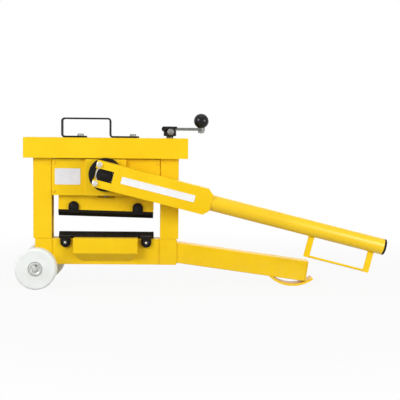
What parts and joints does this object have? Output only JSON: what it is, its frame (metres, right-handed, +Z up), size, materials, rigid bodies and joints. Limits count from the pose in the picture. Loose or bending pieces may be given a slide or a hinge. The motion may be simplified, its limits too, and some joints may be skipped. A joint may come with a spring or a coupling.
{
  "type": "masonry block splitter",
  "caption": "Hand-lever block splitter: a wheeled steel frame whose screw-set head presses an upper blade towards a lower blade to split paving blocks.",
  "frame": {"origin": "on the floor under the middle of the part's own box", "axes": "+X along the machine towards the lever's end, +Y from the lever's side to the back, +Z up"},
  "size_m": [1.2672, 0.3, 0.599],
  "materials": {
    "yellow_paint": "glossy powder coat",
    "black_steel": "black oxide, satin",
    "zinc_steel": "zinc plated",
    "bronze": "turned",
    "white_nylon": "cast nylon",
    "black_plastic": "polished phenolic",
    "plate_grey": "bare data plate",
    "label_white": "bare label"
  },
  "bodies": {
    "frame": {"base_channel": "yellow_paint", "left_post": "yellow_paint", "right_post": "yellow_paint", "post_caps": "yellow_paint", "top_cover": "yellow_paint", "support_leg": "yellow_paint", "leg_end_plate": "yellow_paint", "skid_foot": "yellow_paint", "axle_tube": "yellow_paint", "axle_rod": "zinc_steel", "axle_washers": "zinc_steel", "axle_caps": "zinc_steel", "front_table": "yellow_paint", "rear_table": "yellow_paint", "lower_blade": "black_steel", "lower_blade_bolts": "black_steel", "spindle_seats": "zinc_steel", "spindle_collars": "bronze", "drive_chain": "black_steel", "carry_handle": "black_steel", "carry_handle_bolts": "zinc_steel"},
    "front_wheel": {"front_wheel": "white_nylon", "front_wheel_bush": "zinc_steel"},
    "rear_wheel": {"rear_wheel": "white_nylon", "rear_wheel_bush": "zinc_steel"},
    "head": {"head_front_cheek": "yellow_paint", "head_rear_cheek": "yellow_paint", "left_guide": "yellow_paint", "right_guide": "yellow_paint", "front_bearing_plate": "yellow_paint", "rear_bearing_plate": "yellow_paint", "front_shaft_bush": "bronze", "rear_shaft_bush": "bronze", "spindle_nuts": "bronze", "head_screws": "yellow_paint", "data_plate": "plate_grey"},
    "lever": {"eccentric_shaft": "black_steel", "shaft_collar": "zinc_steel", "lever_flange": "black_steel", "lever_box": "yellow_paint", "lever_bolts": "zinc_steel", "handle_tube": "yellow_paint", "hand_loop": "yellow_paint", "end_plug": "black_plastic", "lever_label": "label_white", "shaft_end_ring": "black_steel"},
    "thrust_block": {"thrust_block": "zinc_steel", "rocking_pin": "zinc_steel"},
    "upper_jaw": {"upper_beam": "yellow_paint", "upper_blade": "black_steel", "upper_blade_bolts": "black_steel"},
    "crank": {"right_spindle": "zinc_steel", "right_sprocket": "zinc_steel", "crank_hub": "black_steel", "crank_screw": "zinc_steel", "crank_arm": "zinc_steel", "ball_knob": "black_plastic", "knob_nut": "zinc_steel"},
    "left_spindle": {"left_spindle": "zinc_steel", "left_sprocket": "zinc_steel"}
  },
  "joints": [
    {"name": "front_wheel_spin", "type": "hinge", "parent": "frame", "child": "front_wheel", "pos_m": [-0.56361, -0.126, 0.07], "axis": [0, 1, 0], "continuous": true},
    {"name": "rear_wheel_spin", "type": "hinge", "parent": "frame", "child": "rear_wheel", "pos_m": [-0.56361, 0.126, 0.07], "axis": [0, 1, 0], "continuous": true},
    {"name": "crank_turn", "type": "hinge", "parent": "frame", "child": "crank", "pos_m": [-0.11511, 0, 0.509], "axis": [0, 0, 1], "range_deg": [-1800, 2520]},
    {"name": "left_spindle_turn", "type": "hinge", "parent": "frame", "child": "left_spindle", "pos_m": [-0.55411, 0, 0.4], "axis": [0, 0, 1], "range_deg": [-1801, 2521]},
    {"name": "head_slide", "type": "slide", "parent": "frame", "child": "head", "axis": [0, 0, 1], "range_m": [-0.0421, 0.0301]},
    {"name": "lever_swing", "type": "hinge", "parent": "head", "child": "lever", "pos_m": [-0.33461, -0.09, 0.386], "axis": [0, -1, 0], "range_deg": [0, 75]},
    {"name": "block_lift", "type": "slide", "parent": "head", "child": "thrust_block", "axis": [0, 0, 1], "range_m": [-0.0001, 0.00984]},
    {"name": "beam_rock", "type": "hinge", "parent": "thrust_block", "child": "upper_jaw", "pos_m": [-0.33461, 0, 0.327], "axis": [0, 1, 0], "range_deg": [-3.9, 1.1]}
  ],
  "couplings": [
    {"joint": "left_spindle_turn", "follows": "crank_turn", "ratio": 1},
    {"joint": "head_slide", "follows": "crank_turn", "m_per_rad": -0.00095493},
    {"joint": "block_lift", "follows": "lever_swing", "m_per_rad": 0.007441}
  ]
}
